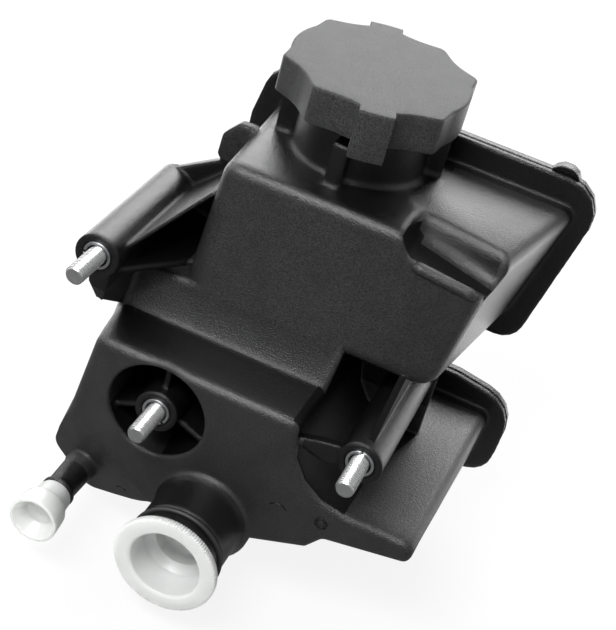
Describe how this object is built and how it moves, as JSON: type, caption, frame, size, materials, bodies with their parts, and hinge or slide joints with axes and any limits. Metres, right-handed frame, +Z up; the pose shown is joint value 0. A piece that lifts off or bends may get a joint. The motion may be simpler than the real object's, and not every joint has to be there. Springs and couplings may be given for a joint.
{
  "type": "power steering reservoir",
  "caption": "Moulded fluid tank with a fluted screw cap, three bolt bosses, an outlet pipe and a return nozzle, both closed with transport plugs.",
  "frame": {"origin": "centre of the middle bolt boss's seat", "axes": "-Y out of the bolt seats towards the bracket, with the bolts and both pipes; +Z up along the filler neck; +X to the right, seen from the bracket's side"},
  "size_m": [0.1443, 0.1288, 0.1639],
  "materials": {
    "black_plastic": "fine-grained satin",
    "cap_grey_plastic": "satin",
    "white_polyethylene": "translucent satin",
    "black_rubber": "matt",
    "zinc_plated_steel": "bright zinc",
    "natural_nylon": "satin",
    "steel_mesh": "woven"
  },
  "bodies": {
    "tank": {"front_shell": "black_plastic", "rear_shell": "black_plastic", "baffle_plate": "natural_nylon", "strainer_frame": "natural_nylon", "strainer_mesh": "steel_mesh", "outlet_o_ring": "black_rubber", "sleeve_left": "zinc_plated_steel", "sleeve_middle": "zinc_plated_steel", "sleeve_right": "zinc_plated_steel"},
    "seal": {"cap_seal": "black_rubber"},
    "cap": {"filler_cap": "cap_grey_plastic", "dipstick": "black_plastic"},
    "plug": {"outlet_plug": "white_polyethylene"},
    "return_plug": {"return_cap": "white_polyethylene"},
    "left_bolt": {"bolt_left": "zinc_plated_steel"},
    "middle_bolt": {"bolt_middle": "zinc_plated_steel"},
    "right_bolt": {"bolt_right": "zinc_plated_steel"}
  },
  "joints": [
    {"name": "cap_turn", "type": "hinge", "parent": "seal", "child": "cap", "pos_m": [0.0245, 0.0626, 0.09], "axis": [0, 0, 1], "range_deg": [0, 360]},
    {"name": "cap_lift", "type": "slide", "parent": "tank", "child": "seal", "axis": [0, 0, 1], "range_m": [0, 0.006]},
    {"name": "plug_pull", "type": "slide", "parent": "tank", "child": "plug", "axis": [0, -1, 0], "range_m": [0, 0.02]},
    {"name": "return_cap_pull", "type": "slide", "parent": "tank", "child": "return_plug", "axis": [0, -1, 0], "range_m": [0, 0.012]},
    {"name": "left_bolt_turn", "type": "hinge", "parent": "tank", "child": "left_bolt", "pos_m": [-0.0285, 0, 0.0449], "axis": [0, -1, 0], "continuous": true},
    {"name": "middle_bolt_turn", "type": "hinge", "parent": "tank", "child": "middle_bolt", "pos_m": [0, 0, 0], "axis": [0, -1, 0], "continuous": true},
    {"name": "right_bolt_turn", "type": "hinge", "parent": "tank", "child": "right_bolt", "pos_m": [0.0646, 0, 0.0136], "axis": [0, -1, 0], "continuous": true}
  ],
  "couplings": [
    {"joint": "cap_lift", "follows": "cap_turn", "m_per_rad": 0.00095493}
  ]
}
